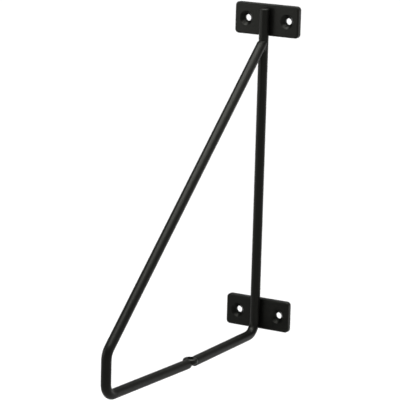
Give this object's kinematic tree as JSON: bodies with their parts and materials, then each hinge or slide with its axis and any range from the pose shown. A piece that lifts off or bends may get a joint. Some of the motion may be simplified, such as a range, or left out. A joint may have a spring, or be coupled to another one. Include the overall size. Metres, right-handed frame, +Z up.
{
  "type": "shelf bracket",
  "caption": "Bent round-rod shelf bracket with a front lip, a diagonal stay, a pressed screw eye in the bar and two countersunk wall plates, in satin black powder coat.",
  "frame": {"origin": "centre of the four wall screw holes, on the wall plane (the plates' back faces)", "axes": "+Z up, +Y into the wall, so the shelf bar reaches into the room along -Y; +X to the right along the wall"},
  "size_m": [0.0452, 0.1871, 0.2172],
  "materials": {
    "black_powder_coat": "satin, very finely pebbled black powder coat on steel"
  },
  "bodies": {
    "root": {"bent_rod": "black_powder_coat", "top_wall_plate": "black_powder_coat", "bottom_wall_plate": "black_powder_coat"}
  },
  "joints": []
}
